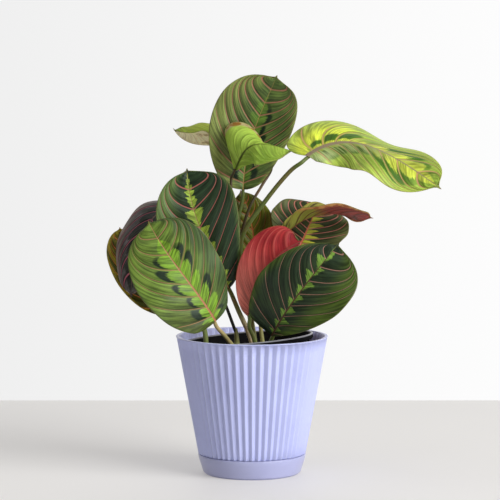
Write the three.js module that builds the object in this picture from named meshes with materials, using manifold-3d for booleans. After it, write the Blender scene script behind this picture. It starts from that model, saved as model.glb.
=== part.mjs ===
// A potted prayer plant (maranta) in millimetres, +Z up, on z = 0, with the pot's axis on the Z axis.
// Viewed along +Y, +X is to the right.
import * as THREE from "three";
import { mergeVertices } from "three/addons/utils/BufferGeometryUtils.js";
import Module from "manifold-3d";

const wasm = await Module();
wasm.setup();

// Driving dimensions of the cover pot and its saucer
const seatGap = 0.3; // clear distance where one piece rests on another
const rimRadius = 70;
const potTop = 127;
const lipHeight = 2.4;
const pleats = 56;
const pleatDepth = 0.036; // as a part of the radius
const innerPleatDepth = 0.0245;
const seamRadius = 49.7;
const wall = 2.4;
const saucerHeight = 18;
const saucerFloor = 3;
const footRadius = 43.5;
const potFloor = 3;
const drainRadius = 3.2;
const potDrains = { count: 4, ring: 24, firstTurn: 45 }; // turns in degrees
const nurseryDrains = { count: 6, ring: 26, firstTurn: 0 };
const cutMargin = 1; // how far a cutter passes the faces that it cuts through

// The nursery pot, which stands a little askew in the cover pot, its right and front side higher
const nursery = {
  height: 116,
  bottomRadius: 37,
  topRadius: 56.5,
  lipRadius: 60,
  lipHeight: 5,
  wall: 1,
  floor: 1.4,
  rightUp: THREE.MathUtils.degToRad(4.6),
  frontUp: THREE.MathUtils.degToRad(1.7),
  foot: [5.6, -2.2, 9.8],
};
const soilTop = 103;
const soilUnevenness = 1.3;
const soilRings = [1, 0.86, 0.7, 0.54, 0.38, 0.2]; // as parts of the top's radius

// How finely the round pieces are divided
const saucerSegments = 72;
const nurserySegments = 56;
const soilSegments = 36;
const boreSides = 16;
const footSides = 12;
const petioleSides = 7;
const petioleStep = 11;

// The blades: thickness, veins on each half, and how the veins sweep forward to the edge
const bladeThickness = 0.84;
const edgeThickness = 0.64;
const veins = 8;
const veinSweep = 2.2;
const veinBend = 1.4;
const pleatRise = 0.9;
const edgeWave = 1.3;
const edgeWaves = 3;
const tipStart = 0.965; // where the round blade ends and its small point starts
const tipWidth = 0.05;
const halfColumns = 4;
const firstRows = [0, 0.015, 0.04];

const lavender = { color: 0xb9bbea, roughness: 0.42, metalness: 0 };
const blackPlastic = { color: 0x1c1c20, roughness: 0.35, metalness: 0 };
const soilBrown = { color: 0x2a1e16, roughness: 0.95, metalness: 0 };
const stemGreen = { color: 0x7c8a4a, roughness: 0.55, metalness: 0 };
const darkGreen = 0x2c4a2c;
const midGreen = 0x5c8a40;
const yellowGreen = 0xa8bf45;
const oliveGreen = 0x6e6a26;
const redUnderside = 0xb04850;
const purpleGreen = 0x4a3f45;

// Each blade has a midrib curve from base to tip, the directions that its upper face looks in along the way,
// and for its left and right half (seen from above, tip forward) the half width, the outline's two exponents,
// the angle it leaves the midrib at, its further curl to the edge in degrees, and the lobe behind the base.
// Where the fold or curl is another one at the tip, turnBlend says how soon it changes (late above 1).
const bladeTable = {
  leaf_top: {
    midrib: [[-8, 8, 261], [-7, 10, 303], [9, 8, 333], [23, -2, 366]],
    faces: [[0.1, -1, 0.4], [0, -1, 0.15]],
    halfWidths: [42, 34],
    outlines: [[0.6, 0.45], [0.49, 0.29]],
    fold: [3, 11],
    curl: [4, 4],
    lobes: [0.06, 0.03],
    color: midGreen,
  },
  leaf_folded: {
    midrib: [[-15.5, -8, 279], [-6.5, -37, 302.7], [-3.4, -29.3, 312], [37.6, -39.8, 298]],
    faces: [[0.22, 0.8, 0], [-0.5, 0.7, -0.57], [0.15, 0.77, -1]],
    halfWidths: [26, 40],
    outlines: [[1.14, 0.32], [0.45, 1.28]],
    fold: [-9, 22],
    tipFold: [-5, 40],
    curl: [17, 39],
    tipCurl: [-4, 67],
    turnBlend: 3,
    color: yellowGreen,
  },
  leaf_back_left: {
    midrib: [[12, 34, 292], [-8, 44, 315], [-55, 41, 284], [-73, 31, 316.5]],
    faces: [[0, -0.6, 1], [0, -0.35, 1]],
    halfWidths: [34, 28],
    fold: [47, 20],
    curl: [0, 2],
    color: midGreen,
  },
  leaf_long_right: {
    midrib: [[50, -8, 293], [88.5, 30, 317.7], [121.6, 10.2, 299.6], [172, -18, 263]],
    faces: [[-0.61, -1, 0.57], [1, 0.24, 0.59], [-0.64, -0.44, 1]],
    halfWidths: [45.6, 38.5],
    outlines: [[0.44, 0.45], [1, 0.62]],
    fold: [-12, 0],
    tipFold: [0.5, -11],
    curl: [-4, -54],
    tipCurl: [-1.4, -14],
    turnBlend: 0.5,
    lobes: [0.11, 0.08],
    color: yellowGreen,
  },
  leaf_mid_left: {
    midrib: [[-21, -14, 172], [-37, -26, 206], [-58, -32, 242], [-59, -18, 282]],
    faces: [[0, -1, 0.3], [-0.1, -1, 0.2]],
    halfWidths: [38, 40],
    outlines: [[0.6, 0.5], [0.8, 0.3]],
    fold: [5, 5],
    curl: [8, 8],
    color: darkGreen,
  },
  leaf_front_left: {
    midrib: [[-33, -42, 145], [-47, -58, 173], [-78, -64, 206], [-93, -46, 236]],
    faces: [[0.1, -0.8, 0.5], [-0.2, -0.9, 0.4]],
    halfWidths: [43, 38],
    outlines: [[0.5, 0.45], [0.5, 0.35]],
    fold: [3, 3],
    curl: [-10, -5],
    color: midGreen,
  },
  leaf_drooping: {
    midrib: [[-62, 8, 243], [-91, -6, 253], [-110, -20, 217], [-110, -22, 164]],
    faces: [[-0.3, -0.7, 0.7], [-0.5, -0.9, 0.1]],
    halfWidths: [28, 26],
    curl: [-20, -20],
    color: purpleGreen,
  },
  leaf_olive_left: {
    midrib: [[-77, -8, 150], [-103, -4, 167.5], [-119, 5, 201], [-122, 13, 226]],
    faces: [[0.1, -1, 0.3], [-0.2, -1, 0.2]],
    halfWidths: [19, 24],
    curl: [20, 20],
    color: oliveGreen,
  },
  leaf_olive_centre: {
    midrib: [[2, 14, 172], [4, 20, 204], [2, 22, 237], [-11, 16, 260]],
    faces: [[0, -1, 0.1], [0.1, -1, 0.1]],
    halfWidths: [20, 23],
    outlines: [[0.6, 0.45], [0.6, 0.7]],
    fold: [5, 5],
    curl: [10, 10],
    color: oliveGreen,
  },
  leaf_red: {
    midrib: [[-2, -20, 146], [0, -28, 176.5], [15, -34, 206], [45, -32, 217]],
    faces: [[0, 1, 0.1], [-0.3, 1, -0.2]],
    halfWidths: [20, 27],
    outlines: [[0.6, 0.45], [0.8, 0.35]],
    fold: [45, 5],
    curl: [25, 10],
    color: redUnderside,
  },
  leaf_front_right: {
    midrib: [[18, -40, 131.4], [32, -58, 161], [53, -66, 188], [78, -56, 217]],
    faces: [[-0.1, -0.85, 0.5], [0, -0.9, 0.5]],
    halfWidths: [40, 43],
    outlines: [[0.4, 0.6], [0.9, 0.4]],
    fold: [3, 3],
    curl: [5, 5],
    lobes: [0.07, 0],
    alternate: true,
    color: darkGreen,
  },
  leaf_back_right: {
    midrib: [[44, -6, 210], [50, 2, 222], [56, 12, 236], [63, 26, 247]],
    faces: [[0, -0.75, 0.6], [0.1, -0.6, 0.8]],
    halfWidths: [37, 38],
    outlines: [[0.5, 0.5], [0.5, 0.5]],
    fold: [5, 5],
    curl: [10, 10],
    color: darkGreen,
  },
  leaf_rolled: {
    midrib: [[29, -8, 218], [48, -15.6, 243], [72, -32, 244.6], [110.6, -10, 236]],
    faces: [[0, -0.6, 0.83], [0.14, -0.03, 0.61], [-0.39, 0.32, 1]],
    halfWidths: [22, 20.7],
    outlines: [[0.73, 0.44], [0.83, 0.57]],
    fold: [8, 35],
    tipFold: [-27, 1],
    curl: [76, 52],
    tipCurl: [38, 1],
    turnBlend: 1.3,
    color: redUnderside,
  },
};
const plainBlade = {
  outlines: [[0.6, 0.45], [0.6, 0.45]],
  fold: [0, 0],
  turnBlend: 1,
  lobes: [0.04, 0.04],
  alternate: false,
};

// Each shoot stands in the soil on a straight foot. Its stems start inside the foot or an earlier stem and
// run through their points; a stem with a leaf ends under the base of that leaf's midrib.
const shootTable = {
  shoot_tall: {
    foot: [2.5, 6, 3.6],
    stems: [
      { radii: [3.4, 2.3], points: [[2.5, 6, 112], [0, 6, 135], [-6, 6, 168], [-12, 6, 204]] },
      { leaf: "leaf_top", radii: [1.9, 1.4], points: [[-10, 6, 184], [-12, 9, 216], [-12, 11, 236]] },
      { leaf: "leaf_folded", radii: [1.4, 1.1], points: [[-14, 8, 220], [-18, 1, 245], [-19, -4, 260]] },
      {
        leaf: "leaf_long_right",
        radii: [2.3, 1.7],
        points: [[-10, 6, 186], [-9, 1, 218], [12, -4, 251], [36, -8, 280]],
      },
      {
        leaf: "leaf_back_left",
        radii: [1.5, 1.1],
        points: [[-11, 6, 196], [-9, 7, 222], [-2, 10, 245], [9, 17, 264], [18, 26, 279]],
      },
      { leaf: "leaf_olive_centre", radii: [1.6, 1.3], points: [[0, 6, 135], [-1, 8, 154]] },
    ],
  },
  shoot_mid_left: {
    foot: [1, -6, 3],
    stems: [
      {
        leaf: "leaf_mid_left",
        radii: [2.8, 1.7],
        points: [[1, -6, 112], [0.6, -6, 119], [-3, -6, 130], [-12, -8, 150]],
      },
    ],
  },
  shoot_left: {
    foot: [-14, -3, 4.4],
    stems: [
      { radii: [4.2, 1.5], points: [[-14, -3, 112], [-14, -3, 124], [-15, -3, 134]] },
      {
        leaf: "leaf_drooping",
        radii: [1.5, 1.2],
        points: [[-14, -3, 128], [-25, -4, 158], [-42, -3, 202], [-51, -2, 230]],
      },
      {
        leaf: "leaf_front_left",
        radii: [2.2, 1.6],
        points: [[-14, -3, 116], [-18, -16, 120], [-26, -31, 132]],
      },
    ],
  },
  shoot_far_left: {
    foot: [-42.5, -5, 3],
    stems: [
      {
        leaf: "leaf_olive_left",
        radii: [2.8, 1.4],
        points: [[-42.5, -5, 112], [-42.5, -5, 124], [-44.5, -5, 134], [-58, -6.5, 145]],
      },
    ],
  },
  shoot_red: {
    foot: [3.7, -15, 2.6],
    stems: [
      {
        leaf: "leaf_red",
        radii: [2.4, 1.6],
        points: [[3.7, -15, 112], [3.7, -15, 117], [1.2, -17.6, 128]],
      },
    ],
  },
  shoot_right: {
    foot: [11, 0, 2.4],
    stems: [
      { radii: [2, 1.7], points: [[11, 0, 112], [8, -1, 136], [9, 0, 160], [15, 1, 182]] },
      { leaf: "leaf_back_right", radii: [1.6, 1.3], points: [[9, 0, 160], [15, 1, 182], [28, -4, 198]] },
      { leaf: "leaf_rolled", radii: [1.5, 1.2], points: [[12, 1, 172], [17, 1, 192], [22, -2, 207]] },
    ],
  },
  shoot_front_right: {
    foot: [13.5, -30, 2.4],
    stems: [{ leaf: "leaf_front_right", radii: [2.2, 1.6], points: [[13.5, -30, 108], [13.5, -30, 117]] }],
  },
};
const footBottom = 98;
const footTop = 118;
const holeGap = 0.4; // clear distance round a foot in its hole in the soil

// A petiole comes in this far behind the base, a little lower, and runs under this share of the midrib.
const petioleBehind = 8;
const petioleDrop = 0.8;
const petioleRun = 0.035;

// A closed mesh as a solid that can be joined and cut
function toSolid(geometry) {
  const plain = geometry.index ? geometry.toNonIndexed() : geometry.clone();
  for (const name of Object.keys(plain.attributes)) if (name !== "position") plain.deleteAttribute(name);
  const merged = mergeVertices(plain, 1e-4);
  const mesh = new wasm.Mesh({
    numProp: 3,
    vertProperties: new Float32Array(merged.attributes.position.array),
    triVerts: new Uint32Array(merged.index.array),
  });
  return new wasm.Manifold(mesh);
}

function toGeometry(solid) {
  const mesh = solid.getMesh();
  const geometry = new THREE.BufferGeometry();
  geometry.setAttribute("position", new THREE.BufferAttribute(new Float32Array(mesh.vertProperties), 3));
  geometry.setIndex(new THREE.BufferAttribute(new Uint32Array(mesh.triVerts), 1));
  geometry.computeVertexNormals();
  return geometry;
}

// A turned shape from its profile of [radius, height] points, bottom first, round the Z axis
function turned(profile, segments) {
  const points = profile.map(([radius, height]) => new THREE.Vector2(radius, height));
  return new THREE.LatheGeometry(points, segments).rotateX(Math.PI / 2);
}

function drill(x, y, radius, bottom, top) {
  const bore = new THREE.CylinderGeometry(radius, radius, top - bottom, boreSides).rotateX(Math.PI / 2);
  return toSolid(bore.translate(x, y, (top + bottom) / 2));
}

// Cutters for a ring of drain holes through a floor
function drillRing({ count, ring, firstTurn }, bottom, top) {
  return Array.from({ length: count }, (_, k) => {
    const turn = THREE.MathUtils.degToRad(firstTurn + (360 * k) / count);
    const [x, y] = [ring * Math.cos(turn), ring * Math.sin(turn)];
    return drill(x, y, drainRadius, bottom - cutMargin, top + cutMargin);
  });
}

function saucerGeometry() {
  const profile = [
    [0, 0],
    [footRadius, 0],
    [footRadius + 0.4, 0.9],
    [footRadius + 1.5, 1.4],
    [seamRadius + 0.1, saucerHeight - 1],
    [seamRadius - 0.3, saucerHeight],
    [seamRadius - 1.7, saucerHeight],
    [seamRadius - 2.1, saucerHeight - 0.6],
    [footRadius, saucerFloor + 0.8],
    [footRadius - 0.8, saucerFloor],
    [0, saucerFloor],
  ];
  return turned(profile, saucerSegments);
}

// The cover pot: a plain foot inside the saucer, then the pleated wall, and a plain round lip on top
function potGeometry() {
  const seam = saucerHeight + seatGap;
  const pleatTop = potTop - lipHeight;
  const foot = saucerFloor + seatGap;
  const floorTop = foot + potFloor;
  const innerSeam = seamRadius - wall;
  const profile = [
    [0, foot],
    [footRadius - 1.6, foot],
    [footRadius - 0.7, foot + 1],
    [seamRadius - 2.8, seam - 0.6],
    [seamRadius - 2.5, seam],
    [seamRadius, seam],
    [rimRadius - 0.4, pleatTop],
    [rimRadius, pleatTop + 0.6],
    [rimRadius, potTop - 0.7],
    [rimRadius - 0.7, potTop],
    [rimRadius - wall, potTop],
    [rimRadius - wall - 0.6, potTop - 0.7],
    [rimRadius - wall - 0.6, pleatTop],
    [innerSeam + 0.2, seam + 2],
    [seamRadius - 5.2, seam - 2],
    [footRadius - 2.4, floorTop + 0.8],
    [footRadius - 3.2, floorTop],
    [0, floorTop],
  ];
  const geometry = turned(profile, 2 * pleats);
  // The corners that stand further in at every other turn: radius, height and depth
  const corners = [
    [seamRadius, seam, pleatDepth],
    [rimRadius - 0.4, pleatTop, pleatDepth],
    [rimRadius - wall - 0.6, pleatTop, innerPleatDepth],
    [innerSeam + 0.2, seam + 2, innerPleatDepth],
  ];
  const position = geometry.attributes.position;
  for (let i = 0; i < position.count; i++) {
    const x = position.getX(i);
    const y = position.getY(i);
    const z = position.getZ(i);
    const radius = Math.hypot(x, y);
    const corner = corners.find(
      ([r, height]) => Math.abs(radius - r) < 0.01 && Math.abs(z - height) < 0.01,
    );
    const turn = Math.round((Math.atan2(y, x) / Math.PI) * pleats);
    if (corner && turn % 2 !== 0) {
      const scale = 1 - corner[2];
      position.setXY(i, x * scale, y * scale);
    }
  }
  const drains = drillRing(potDrains, foot, floorTop);
  return toGeometry(wasm.Manifold.difference([toSolid(geometry), ...drains]));
}

function nurseryGeometry() {
  const { height, bottomRadius, topRadius, lipRadius, floor } = nursery;
  const skin = nursery.wall;
  const lipBottom = height - nursery.lipHeight;
  const profile = [
    [0, 0],
    [bottomRadius, 0],
    [topRadius, lipBottom - 2],
    [lipRadius - 0.4, lipBottom],
    [lipRadius, lipBottom + 0.6],
    [lipRadius, height - 0.6],
    [lipRadius - 0.6, height],
    [lipRadius - 1.7, height],
    [lipRadius - 2, height - 0.6],
    [lipRadius - 2.4, lipBottom + 1.2],
    [topRadius - skin, lipBottom - 1.2],
    [bottomRadius - skin, floor],
    [0, floor],
  ];
  const drains = drillRing(nurseryDrains, 0, floor);
  return toGeometry(wasm.Manifold.difference([toSolid(turned(profile, nurserySegments)), ...drains]));
}

function innerWallRadius(height) {
  const { bottomRadius, topRadius, floor } = nursery;
  const share = (height - floor) / (nursery.height - nursery.lipHeight - 1.2 - floor);
  return bottomRadius - nursery.wall + (topRadius - bottomRadius) * share;
}

// The soil fills the nursery pot. Its top is uneven, and a plain hole takes the foot of each shoot.
function soilGeometry(nurseryMatrix) {
  const bottom = nursery.floor + seatGap;
  const profile = [[0, bottom], [innerWallRadius(bottom) - seatGap, bottom]];
  const topRadius = innerWallRadius(soilTop) - seatGap - 0.2;
  for (const share of soilRings) profile.push([topRadius * share, soilTop]);
  profile.push([0, soilTop]);
  const geometry = turned(profile, soilSegments);
  const position = geometry.attributes.position;
  for (let i = 0; i < position.count; i++) {
    const x = position.getX(i);
    const y = position.getY(i);
    if (position.getZ(i) < soilTop - 1 || Math.hypot(x, y) > 0.99 * topRadius) continue;
    const lumps = Math.sin(0.31 * x + 1) * Math.cos(0.27 * y) + 0.6 * Math.sin(0.55 * y - 0.4 * x + 2);
    position.setZ(i, soilTop + soilUnevenness * lumps);
  }
  const body = toSolid(geometry.applyMatrix4(nurseryMatrix));
  const holes = Object.values(shootTable).map(({ foot: [x, y, radius] }) =>
    drill(x, y, radius + holeGap, footBottom - seatGap, footTop + cutMargin),
  );
  return toGeometry(wasm.Manifold.difference([body, ...holes]));
}

function blend(a, b, share) {
  return a + (b - a) * share;
}

// A blade as functions of s, the place along the midrib where a vein starts, and v, from the left edge at -1
// through the midrib at 0 to the right edge at 1.
function makeBlade(entry) {
  const blade = { ...plainBlade, tipFold: entry.fold ?? plainBlade.fold, tipCurl: entry.curl, ...entry };
  const midrib = new THREE.CubicBezierCurve3(...blade.midrib.map((point) => new THREE.Vector3(...point)));
  const faces = blade.faces.map((face) => new THREE.Vector3(...face).normalize());
  if (faces.length === 2) faces.splice(1, 0, faces[0].clone().add(faces[1]).multiplyScalar(0.5));

  function frame(u) {
    const inside = THREE.MathUtils.clamp(u, 0.001, 0.999);
    const along = midrib.getTangent(inside);
    const up = new THREE.Vector3();
    up.addScaledVector(faces[0], (1 - inside) ** 2);
    up.addScaledVector(faces[1], 2 * inside * (1 - inside));
    up.addScaledVector(faces[2], inside ** 2);
    up.addScaledVector(along, -up.dot(along)).normalize();
    const across = new THREE.Vector3().crossVectors(along, up);
    return { along, up, across };
  }

  function halfWidth(u, side) {
    const [p, q] = blade.outlines[side];
    const widest = p / (p + q);
    const share = THREE.MathUtils.clamp(u / tipStart, 0, 1);
    const round = (share / widest) ** p * ((1 - share) / (1 - widest)) ** q;
    const point = u > 0.5 ? tipWidth * Math.min(1, (1 - u) / (1 - tipStart)) : 0;
    return blade.halfWidths[side] * Math.hypot(round, point);
  }

  function place(s, v, withPleats) {
    const side = v < 0 ? 0 : 1;
    const t = Math.abs(v);
    const u = s + (1 - (1 - s) ** veinSweep - s) * t ** veinBend;
    const lobe = blade.lobes[side] * t ** 1.5 * (1 - s) ** 5 * Math.min(1, s / 0.04);
    const { up, across } = frame(u);
    const width = halfWidth(u, side);
    const turnShare = u ** blade.turnBlend;
    const fold = THREE.MathUtils.degToRad(blend(blade.fold[side], blade.tipFold[side], turnShare));
    const curl = THREE.MathUtils.degToRad(blend(blade.curl[side], blade.tipCurl[side], turnShare) || 0.1);
    const out = (width * (Math.sin(fold + curl * t) - Math.sin(fold))) / curl;
    let rise = (width * (Math.cos(fold) - Math.cos(fold + curl * t))) / curl;
    const phase = edgeWaves * u + (side ? 0.23 : 0);
    rise += edgeWave * t ** 2 * Math.sin(2 * Math.PI * phase) * Math.min(1, width / 12);
    if (withPleats) {
      const vein = s * veins + (side && blade.alternate ? 0.5 : 0);
      const envelope = Math.min(1, 4 * t) * (1 - t ** 3) * Math.min(1, width / 10);
      rise += pleatRise * Math.abs(Math.sin(Math.PI * vein)) * envelope;
    }
    const point = midrib.getPoint(u - lobe);
    return point.addScaledVector(across, side ? out : -out).addScaledVector(up, rise);
  }

  // The direction of the upper side, from the blade without its pleats
  function upward(s, v) {
    const step = 0.004;
    const s0 = THREE.MathUtils.clamp(s, 0.02, 0.97);
    const v0 = THREE.MathUtils.clamp(v, -0.99, 0.99);
    const ahead = place(s0 + step, v0, false).sub(place(s0 - step, v0, false));
    const right = place(s0, v0 + step, false).sub(place(s0, v0 - step, false));
    return ahead.cross(right).negate().normalize();
  }

  return { midrib, frame, place, upward, color: blade.color };
}

// Both faces are split alike: each square by the same diagonal, with a narrow wall round the edge.
function bladeGeometry(blade) {
  const rows = [...firstRows];
  for (let k = 1; k <= 2 * veins - 2; k++) rows.push(k / (2 * veins));
  rows.push(1);
  const columns = [];
  for (let k = -halfColumns; k <= halfColumns; k++) columns.push(k / halfColumns);
  const positions = [];
  const faces = [];
  const index = { 1: [], "-1": [] };
  for (const level of [1, -1])
    for (const s of rows) {
      const isEnd = s === 0 || s === 1;
      const row = [];
      for (const v of columns) {
        if (isEnd && v > -1) {
          row.push(row[0]);
          continue;
        }
        const thickness = Math.abs(v) === 1 || isEnd ? edgeThickness : bladeThickness;
        const at = isEnd ? 0 : v;
        const point = blade.place(s, at, true);
        point.addScaledVector(blade.upward(s, at), (level * thickness) / 2);
        row.push(positions.length / 3);
        positions.push(point.x, point.y, point.z);
      }
      index[level].push(row);
    }
  const addFace = (a, b, c) => {
    if (a !== b && b !== c && a !== c) faces.push(a, b, c);
  };
  const addSquare = (a, b, c, d, level) => {
    if (level > 0) {
      addFace(a, b, c);
      addFace(a, c, d);
    } else {
      addFace(a, c, b);
      addFace(a, d, c);
    }
  };
  const last = columns.length - 1;
  for (let r = 0; r + 1 < rows.length; r++) {
    for (const level of [1, -1])
      for (let c = 0; c < last; c++) {
        const [near, far] = [index[level][r], index[level][r + 1]];
        addSquare(near[c], near[c + 1], far[c + 1], far[c], level);
      }
    const [top, under] = [index[1], index[-1]];
    addSquare(under[r][0], top[r][0], top[r + 1][0], under[r + 1][0], 1);
    addSquare(top[r][last], under[r][last], under[r + 1][last], top[r + 1][last], 1);
  }
  const geometry = new THREE.BufferGeometry();
  geometry.setAttribute("position", new THREE.Float32BufferAttribute(positions, 3));
  geometry.setIndex(faces);
  geometry.computeVertexNormals();
  return geometry;
}

// A round stem: a cylinder bent along a curve through the points, from the first radius to the second
function stemGeometry(points, [startRadius, endRadius]) {
  const curve = new THREE.CatmullRomCurve3(points, false, "centripetal");
  const steps = Math.max(3, Math.round(curve.getLength() / petioleStep));
  const frames = curve.computeFrenetFrames(steps, false);
  const geometry = new THREE.CylinderGeometry(1, 1, 1, petioleSides, steps);
  const position = geometry.attributes.position;
  for (let i = 0; i < position.count; i++) {
    const step = Math.round((position.getY(i) + 0.5) * steps);
    const radius = blend(startRadius, endRadius, step / steps);
    const point = curve.getPointAt(step / steps);
    point.addScaledVector(frames.normals[step], radius * position.getZ(i));
    point.addScaledVector(frames.binormals[step], radius * position.getX(i));
    position.setXYZ(i, point.x, point.y, point.z);
  }
  return geometry;
}

// The petiole comes in behind the base and ends just under the first stretch of the midrib.
function petioleEnd(blade, radius) {
  const { along, up } = blade.frame(0);
  const drop = bladeThickness / 2 + seatGap + radius;
  const base = blade.midrib.getPoint(0);
  const behind = base
    .clone()
    .addScaledVector(along, -petioleBehind)
    .addScaledVector(up, -drop - petioleDrop);
  const below = base.clone().addScaledVector(along, -1).addScaledVector(up, -drop);
  const under = blade.midrib.getPoint(petioleRun).addScaledVector(blade.frame(petioleRun).up, -drop);
  return [behind, below, under];
}

function shootGeometry(shoot, blades) {
  const [x, y, radius] = shoot.foot;
  const foot = new THREE.CylinderGeometry(radius, radius, footTop - footBottom, footSides);
  foot.rotateX(Math.PI / 2);
  const pieces = [toSolid(foot.translate(x, y, (footTop + footBottom) / 2))];
  for (const stem of shoot.stems) {
    const points = stem.points.map((point) => new THREE.Vector3(...point));
    if (stem.leaf) points.push(...petioleEnd(blades[stem.leaf], stem.radii[1]));
    pieces.push(toSolid(stemGeometry(points, stem.radii)));
  }
  return toGeometry(wasm.Manifold.union(pieces));
}

const plant = new THREE.Group();

function addPiece(name, geometry, finish, parent = plant) {
  const mesh = new THREE.Mesh(geometry, new THREE.MeshStandardMaterial(finish));
  mesh.name = name;
  parent.add(mesh);
}

const askew = new THREE.Matrix4().makeRotationFromEuler(
  new THREE.Euler(-nursery.frontUp, -nursery.rightUp, 0),
);
askew.setPosition(...nursery.foot);

addPiece("saucer", saucerGeometry(), lavender);
addPiece("pot", potGeometry(), lavender);
addPiece("nursery_pot", nurseryGeometry().applyMatrix4(askew), blackPlastic);
addPiece("soil", soilGeometry(askew), soilBrown);

const blades = {};
for (const [name, entry] of Object.entries(bladeTable)) blades[name] = makeBlade(entry);
for (const [name, shoot] of Object.entries(shootTable)) {
  addPiece(name, shootGeometry(shoot, blades), stemGreen);
}
for (const [name, blade] of Object.entries(blades))
  addPiece(name, bladeGeometry(blade), { color: blade.color, roughness: 0.4, metalness: 0 });

export default plant;
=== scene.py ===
import random
import bmesh
import bpy
from math import atan2, cos, hypot, pi, radians, sin, sqrt, tau
from mathutils import Matrix, Vector, noise


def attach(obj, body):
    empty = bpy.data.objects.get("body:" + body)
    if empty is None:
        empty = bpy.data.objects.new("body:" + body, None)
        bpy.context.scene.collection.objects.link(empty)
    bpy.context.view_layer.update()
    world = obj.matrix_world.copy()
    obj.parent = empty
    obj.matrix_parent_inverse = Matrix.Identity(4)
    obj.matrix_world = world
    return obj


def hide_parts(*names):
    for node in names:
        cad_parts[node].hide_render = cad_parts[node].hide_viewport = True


# Potted prayer plant. Metres, +Z up, the pot's axis on Z, seen from the front along +Y.

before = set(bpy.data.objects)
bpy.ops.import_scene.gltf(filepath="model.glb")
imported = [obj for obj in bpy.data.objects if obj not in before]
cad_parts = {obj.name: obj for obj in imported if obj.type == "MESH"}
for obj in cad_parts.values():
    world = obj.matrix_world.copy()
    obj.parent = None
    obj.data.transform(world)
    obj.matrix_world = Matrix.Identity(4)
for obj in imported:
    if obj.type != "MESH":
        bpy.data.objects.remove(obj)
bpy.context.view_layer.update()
mm = 0.001
print("frame loaded:", len(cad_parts), "nodes")


def ink(red, green, blue):
    # a colour as seen on a screen, 0 to 255, as linear light
    parts = [part / 255 for part in (red, green, blue)]
    return tuple(((p + 0.055) / 1.055) ** 2.4 if p > 0.04 else p / 12.92 for p in parts) + (1.0,)


def blend(a, b, share):
    return a + (b - a) * share


def clamp(value, low=0.0, high=1.0):
    return max(low, min(high, value))


class Value:
    # one output socket of a finish, to be used in plain sums
    def __init__(self, finish, socket):
        self.finish, self.socket = finish, socket

    def calc(self, operation, *others):
        sockets = dict(enumerate((self,) + others))
        return self.finish.add("ShaderNodeMath", {"operation": operation}, sockets)

    def __add__(self, other):
        return self.calc("ADD", other)

    def __sub__(self, other):
        return self.calc("SUBTRACT", other)

    def __rsub__(self, other):
        return self.finish.add("ShaderNodeMath", {"operation": "SUBTRACT"}, {0: other, 1: self})

    def __mul__(self, other):
        return self.calc("MULTIPLY", other)

    def __truediv__(self, other):
        return self.calc("DIVIDE", other)

    def __pow__(self, other):
        return self.calc("POWER", other)

    __radd__, __rmul__ = __add__, __mul__

    def __abs__(self):
        return self.calc("ABSOLUTE")

    def most(self, other):
        return self.calc("MAXIMUM", other)

    def rises(self, low, high):
        # 0 below low, 1 above high, smooth in between
        settings = {"interpolation_type": "SMOOTHSTEP"}
        sockets = {"Value": self, "From Min": low, "From Max": high}
        return self.finish.add("ShaderNodeMapRange", settings, sockets)

    def falls(self, low, high):
        return 1 - self.rises(low, high)


class Finish:
    # a material that is built up node by node
    def __init__(self, name, roughness, **fixed):
        self.material = bpy.data.materials.new(name)
        self.material.use_nodes = True
        self.tree = self.material.node_tree
        self.shader = self.tree.nodes["Principled BSDF"]
        self.paint(Roughness=roughness, **fixed)

    def feed(self, socket, value):
        if isinstance(value, Value):
            self.tree.links.new(value.socket, socket)
        else:
            socket.default_value = value

    def paint(self, **sockets):
        for name, value in sockets.items():
            self.feed(self.shader.inputs[name.replace("_", " ")], value)

    def add(self, kind, settings={}, sockets={}, output=0):
        node = self.tree.nodes.new(kind)
        for key, value in settings.items():
            setattr(node, key, value)
        for key, value in sockets.items():
            self.feed(node.inputs[key], value)
        return Value(self, node.outputs[output])

    def mix(self, low, high, share):
        # a mix node takes its colours in at 6 and 7 and gives the mixed one out at 2
        return self.add("ShaderNodeMix", {"data_type": "RGBA"}, {0: share, 6: low, 7: high}, 2)

    def shade(self, colour, amount):
        # makes a colour lighter or darker by a varying factor
        colour = colour if isinstance(colour, Value) else colour[:3]
        return self.add("ShaderNodeVectorMath", {"operation": "SCALE"}, {0: colour, "Scale": amount})

    def place(self):
        return self.add("ShaderNodeTexCoord", {}, {}, "Object")

    def parts(self, vector):
        node = self.add("ShaderNodeSeparateXYZ", {}, {0: vector}).socket.node
        return [Value(self, socket) for socket in node.outputs]

    def uv(self, name):
        return self.parts(self.add("ShaderNodeUVMap", {"uv_map": name}))

    def vector(self, *values):
        return self.add("ShaderNodeCombineXYZ", {}, dict(enumerate(values)))

    def toss(self, seed):
        # a different number from 0 to 1 for each whole number
        return self.add("ShaderNodeTexWhiteNoise", {"noise_dimensions": "1D"}, {"W": seed})

    def grain(self, scale, detail=3, vector=None, roughness=0.5):
        vector = vector or self.place()
        sockets = {"Vector": vector, "Scale": scale, "Detail": detail, "Roughness": roughness}
        return self.add("ShaderNodeTexNoise", {}, sockets)

    def relief(self, height, distance, strength):
        bump = self.add("ShaderNodeBump", {}, {"Height": height, "Distance": distance, "Strength": strength})
        self.paint(Normal=bump)


def linked(name, bm):
    # a new object in the scene, with the mesh that bm holds
    mesh = bpy.data.meshes.new(name)
    bm.to_mesh(mesh)
    bm.free()
    piece = bpy.data.objects.new(name, mesh)
    bpy.context.collection.objects.link(piece)
    return piece


def makeObject(name, bm, materials, replaced):
    piece = linked(name, bm)
    for material in materials:
        piece.data.materials.append(material)
    piece.data.polygons.foreach_set("use_smooth", [True] * len(piece.data.polygons))
    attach(piece, "root")
    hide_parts(*replaced)
    return piece


# Pot and saucer

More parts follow.
